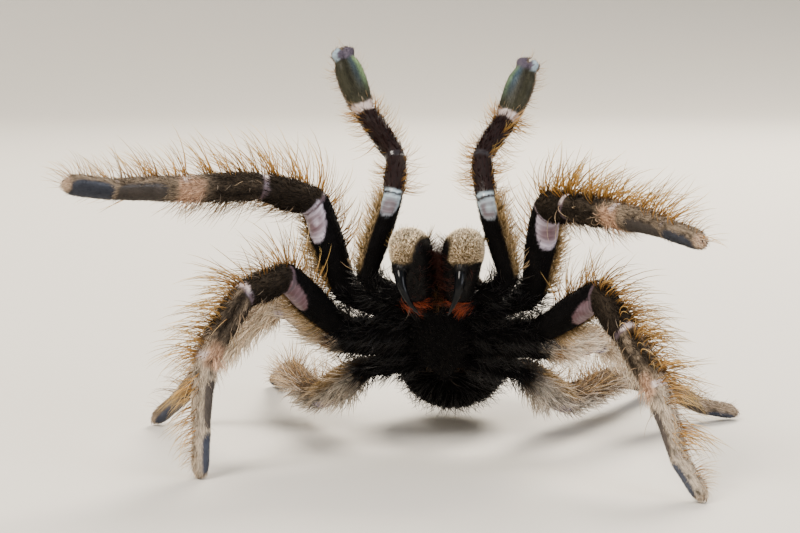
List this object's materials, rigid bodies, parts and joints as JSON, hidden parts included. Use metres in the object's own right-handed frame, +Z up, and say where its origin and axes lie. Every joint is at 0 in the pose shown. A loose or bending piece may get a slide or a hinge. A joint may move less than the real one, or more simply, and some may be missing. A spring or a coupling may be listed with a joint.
{
  "type": "tarantula",
  "caption": "Life-size still model of a stocky hairy tarantula reared in its threat posture, fangs open, standing on its six hind feet.",
  "frame": {"origin": "on the floor at the middle of the spider's span, from side to side and from front to back", "axes": "the spider faces -Y, its left side is +X, +Z is up from the floor"},
  "size_m": [0.0944, 0.0944, 0.0596],
  "materials": {
    "coat": "short dense hair over skin, dark brown to cream",
    "coat_dark": "black velvet hair",
    "coat_golden": "golden beige velvet hair over black shell",
    "fang": "smooth glossy black horn",
    "eye": "smooth glossy black domes"
  },
  "bodies": {
    "root": {"carapace": "coat", "sternum": "coat_dark", "pedicel": "coat", "abdomen": "coat", "right_eye_front_middle": "eye", "right_eye_front_side": "eye", "right_eye_rear_middle": "eye", "right_eye_rear_side": "eye", "left_eye_front_middle": "eye", "left_eye_front_side": "eye", "left_eye_rear_middle": "eye", "left_eye_rear_side": "eye", "right_chelicera": "coat_golden", "right_fang": "fang", "right_spinneret": "coat", "right_palp_coxa_femur": "coat", "right_palp_patella": "coat", "right_palp_tibia": "coat", "right_palp_tarsus": "coat", "right_leg_1_coxa_femur": "coat", "right_leg_1_patella": "coat", "right_leg_1_tibia": "coat", "right_leg_1_foot": "coat", "right_leg_2_coxa_femur": "coat", "right_leg_2_patella": "coat", "right_leg_2_tibia": "coat", "right_leg_2_foot": "coat", "right_leg_3_coxa_femur": "coat", "right_leg_3_patella": "coat", "right_leg_3_tibia": "coat", "right_leg_3_foot": "coat", "right_leg_4_coxa_femur": "coat", "right_leg_4_patella": "coat", "right_leg_4_tibia": "coat", "right_leg_4_foot": "coat", "left_chelicera": "coat_golden", "left_fang": "fang", "left_spinneret": "coat", "left_palp_coxa_femur": "coat", "left_palp_patella": "coat", "left_palp_tibia": "coat", "left_palp_tarsus": "coat", "left_leg_1_coxa_femur": "coat", "left_leg_1_patella": "coat", "left_leg_1_tibia": "coat", "left_leg_1_foot": "coat", "left_leg_2_coxa_femur": "coat", "left_leg_2_patella": "coat", "left_leg_2_tibia": "coat", "left_leg_2_foot": "coat", "left_leg_3_coxa_femur": "coat", "left_leg_3_patella": "coat", "left_leg_3_tibia": "coat", "left_leg_3_foot": "coat", "left_leg_4_coxa_femur": "coat", "left_leg_4_patella": "coat", "left_leg_4_tibia": "coat", "left_leg_4_foot": "coat"}
  },
  "joints": []
}
